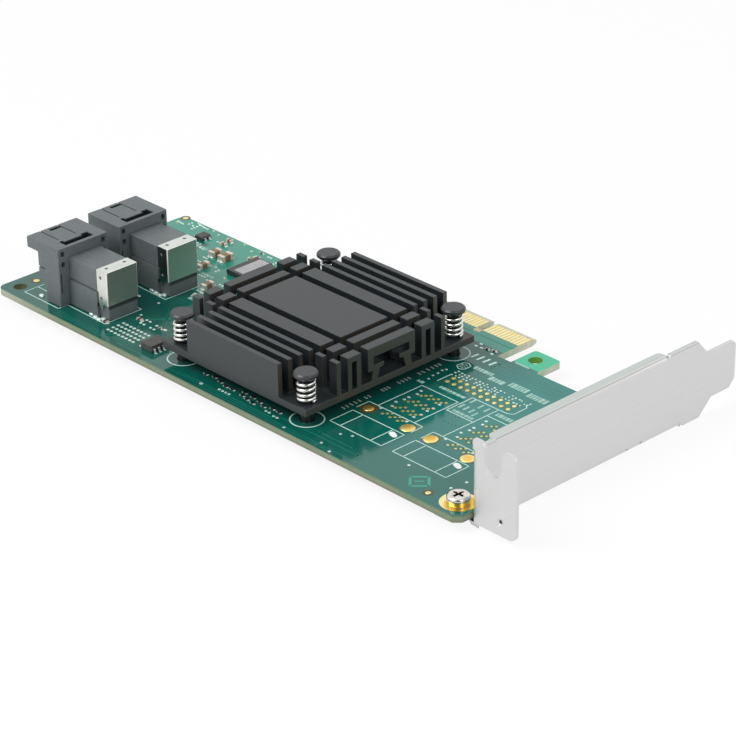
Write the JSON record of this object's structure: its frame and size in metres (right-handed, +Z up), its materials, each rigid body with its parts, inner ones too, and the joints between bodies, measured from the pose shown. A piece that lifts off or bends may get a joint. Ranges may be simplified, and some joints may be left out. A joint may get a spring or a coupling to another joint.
{
  "type": "drive adapter card",
  "caption": "Low-profile expansion card with a finned heat sink held by spring push pins, two cable sockets, an edge contact tongue and a folded mounting bracket.",
  "frame": {"origin": "on the contact tongue's outer edge, at the centre of the key slot, on the component face of the board", "axes": "+X along the board towards the mounting bracket, +Y out of the edge contacts in the plugging direction, +Z up from the component face"},
  "size_m": [0.1629, 0.083, 0.0208],
  "materials": {
    "board_laminate": "green solder-mask gloss",
    "gold_plate": "gold plating",
    "chip_carrier": "satin",
    "nickel_lid": "satin nickel",
    "soft_pad": "matte",
    "black_anodised": "black anodised, satin",
    "black_nylon": "moulded satin",
    "spring_steel": "bright drawn wire",
    "grey_plastic": "moulded matte",
    "cap_metal": "bright satin",
    "tin_plate": "bright tin",
    "bracket_steel": "satin plating",
    "screw_steel": "bright plating",
    "chip_black": "moulded matte",
    "component_ceramic": "fired satin",
    "component_black": "fired satin"
  },
  "bodies": {
    "root": {"bracket": "bracket_steel", "bracket_screw_far": "screw_steel", "bracket_screw_near": "screw_steel", "capacitors": "component_ceramic", "circuit_board": "board_laminate", "edge_contacts_bottom": "gold_plate", "edge_contacts_top": "gold_plate", "heatsink": "black_anodised", "logic_chip": "chip_black", "logic_chip_leads": "tin_plate", "memory_chip": "chip_black", "memory_chip_leads": "tin_plate", "pin_spring_far_left": "spring_steel", "pin_spring_far_right": "spring_steel", "pin_spring_near_left": "spring_steel", "pin_spring_near_right": "spring_steel", "plated_pads": "gold_plate", "processor_lid": "nickel_lid", "processor_substrate": "chip_carrier", "push_pin_far_left": "black_nylon", "push_pin_far_right": "black_nylon", "push_pin_near_left": "black_nylon", "push_pin_near_right": "black_nylon", "regulator_chip": "chip_black", "resistors": "component_black", "screw_pads": "gold_plate", "socket_a_cap": "cap_metal", "socket_a_contacts": "gold_plate", "socket_a_pin_tails": "tin_plate", "socket_a_shell": "grey_plastic", "socket_a_wafer_stack": "grey_plastic", "socket_b_cap": "cap_metal", "socket_b_contacts": "gold_plate", "socket_b_pin_tails": "tin_plate", "socket_b_shell": "grey_plastic", "socket_b_wafer_stack": "grey_plastic", "thermal_pad": "soft_pad"}
  },
  "joints": []
}
